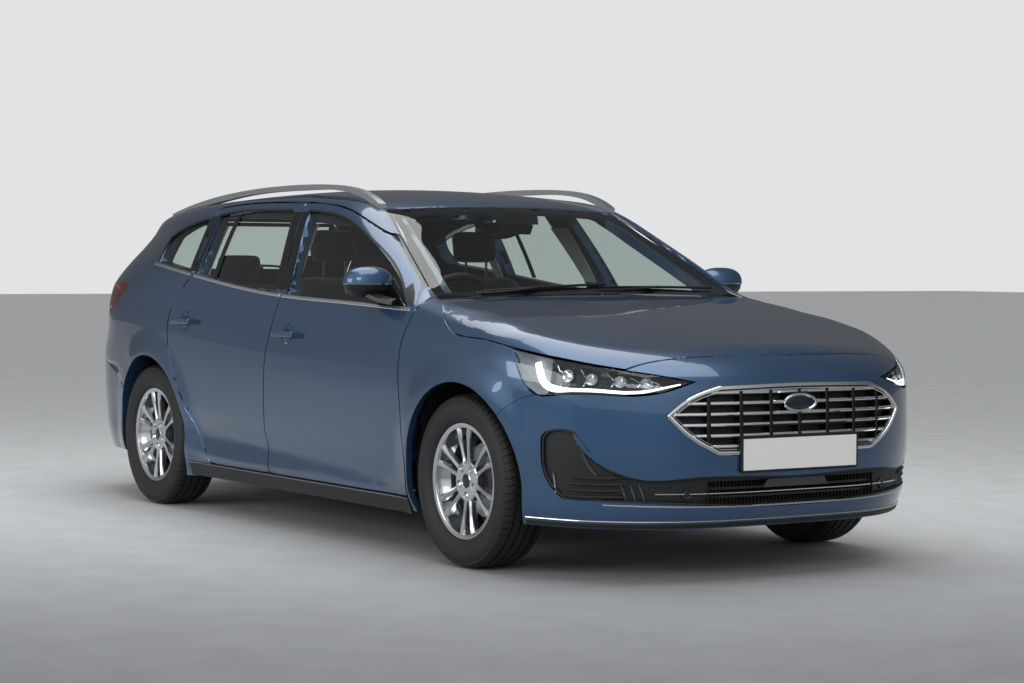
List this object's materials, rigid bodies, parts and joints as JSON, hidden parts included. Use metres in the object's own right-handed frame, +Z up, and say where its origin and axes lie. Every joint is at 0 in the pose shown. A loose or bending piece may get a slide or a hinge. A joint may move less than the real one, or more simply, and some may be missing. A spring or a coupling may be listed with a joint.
{
  "type": "station wagon",
  "caption": "Compact five-door station wagon with opening doors, tailgate and bonnet, steering front wheels and road wheels that turn freely.",
  "frame": {"origin": "middle of the footprint, on the ground under the tyres", "axes": "+X forward along the car, +Y to the car's left, +Z up"},
  "size_m": [4.6693, 1.958, 1.4605],
  "materials": {
    "paint": "gloss metallic",
    "glazing": "clear",
    "black_plastic": "grained",
    "bright_trim": "polished",
    "lamp_clear": "clear lens",
    "lamp_red": "clear red",
    "plate_white": "blank",
    "rail_metal": "satin",
    "underbody": "matt coat",
    "cloth": "woven",
    "cast_metal": "as cast",
    "steel": "dull",
    "alloy": "machined and painted",
    "tyre": "matt"
  },
  "bodies": {
    "body": {"body_side_right": "paint", "body_side_left": "paint", "quarter_glasses": "glazing", "wings": "paint", "front_bumper": "paint", "grille": "bright_trim", "lower_grille": "black_plastic", "headlamps": "lamp_clear", "number_plate_front": "plate_white", "rear_bumper": "paint", "tail_lamps": "lamp_red", "roof_panel": "paint", "windscreen": "glazing", "cowl": "black_plastic", "roof_rails": "rail_metal", "floor_pan": "underbody", "dashboard": "black_plastic", "front_seats": "cloth", "rear_seat": "cloth", "engine_block": "cast_metal", "front_frame": "underbody", "radiator": "rail_metal", "control_arms": "underbody", "rear_axle": "underbody", "fuel_tank": "underbody", "exhaust": "steel"},
    "front_door_right": {"front_door_right": "paint", "front_door_glass_right": "glazing", "mirror_right": "paint"},
    "front_door_left": {"front_door_left": "paint", "front_door_glass_left": "glazing", "mirror_left": "paint"},
    "rear_door_right": {"rear_door_right": "paint", "rear_door_glass_right": "glazing"},
    "rear_door_left": {"rear_door_left": "paint", "rear_door_glass_left": "glazing"},
    "tailgate": {"tailgate": "paint", "tailgate_glass": "glazing", "tailgate_lamps": "lamp_red", "number_plate_rear": "plate_white"},
    "hood": {"hood": "paint"},
    "steering_wheel": {"steering_wheel": "black_plastic"},
    "knuckle_right": {"knuckle_right": "cast_metal"},
    "knuckle_left": {"knuckle_left": "cast_metal"},
    "wheel_front_right": {"wheel_front_right": "alloy", "tyre_front_right": "tyre"},
    "wheel_front_left": {"wheel_front_left": "alloy", "tyre_front_left": "tyre"},
    "wheel_rear_right": {"wheel_rear_right": "alloy", "tyre_rear_right": "tyre"},
    "wheel_rear_left": {"wheel_rear_left": "alloy", "tyre_rear_left": "tyre"}
  },
  "joints": [
    {"name": "front_door_right_hinge", "type": "hinge", "parent": "body", "child": "front_door_right", "pos_m": [1.02, -0.907, 0.6], "axis": [0, 0, 1], "range_deg": [0, 65]},
    {"name": "rear_door_right_hinge", "type": "hinge", "parent": "body", "child": "rear_door_right", "pos_m": [-0.075, -0.907, 0.6], "axis": [0, 0, 1], "range_deg": [0, 65]},
    {"name": "front_door_left_hinge", "type": "hinge", "parent": "body", "child": "front_door_left", "pos_m": [1.02, 0.907, 0.6], "axis": [0, 0, -1], "range_deg": [0, 65]},
    {"name": "rear_door_left_hinge", "type": "hinge", "parent": "body", "child": "rear_door_left", "pos_m": [-0.075, 0.907, 0.6], "axis": [0, 0, -1], "range_deg": [0, 65]},
    {"name": "tailgate_hinge", "type": "hinge", "parent": "body", "child": "tailgate", "pos_m": [-1.8865, 0, 1.372], "axis": [0, 1, 0], "range_deg": [0, 80]},
    {"name": "hood_hinge", "type": "hinge", "parent": "body", "child": "hood", "pos_m": [1.088, 0, 0.985], "axis": [0, -1, 0], "range_deg": [0, 50]},
    {"name": "steer_left", "type": "hinge", "parent": "body", "child": "knuckle_left", "pos_m": [1.444, 0.695, 0.322], "axis": [0, -0.1736, 0.9848], "range_deg": [-35, 35]},
    {"name": "steer_right", "type": "hinge", "parent": "body", "child": "knuckle_right", "pos_m": [1.444, -0.695, 0.322], "axis": [0, 0.1736, 0.9848], "range_deg": [-35, 35]},
    {"name": "steering_wheel_turn", "type": "hinge", "parent": "body", "child": "steering_wheel", "pos_m": [0.545, -0.372, 0.902], "axis": [-0.9135, 0, 0.4067], "range_deg": [-490, 490]},
    {"name": "wheel_front_right_spin", "type": "hinge", "parent": "knuckle_right", "child": "wheel_front_right", "pos_m": [1.444, -0.786, 0.322], "axis": [0, 1, 0], "continuous": true},
    {"name": "wheel_front_left_spin", "type": "hinge", "parent": "knuckle_left", "child": "wheel_front_left", "pos_m": [1.444, 0.786, 0.322], "axis": [0, 1, 0], "continuous": true},
    {"name": "wheel_rear_right_spin", "type": "hinge", "parent": "body", "child": "wheel_rear_right", "pos_m": [-1.256, -0.783, 0.322], "axis": [0, 1, 0], "continuous": true},
    {"name": "wheel_rear_left_spin", "type": "hinge", "parent": "body", "child": "wheel_rear_left", "pos_m": [-1.256, 0.783, 0.322], "axis": [0, 1, 0], "continuous": true}
  ],
  "couplings": [
    {"joint": "steer_right", "follows": "steer_left", "ratio": 1},
    {"joint": "steering_wheel_turn", "follows": "steer_left", "ratio": 14}
  ]
}
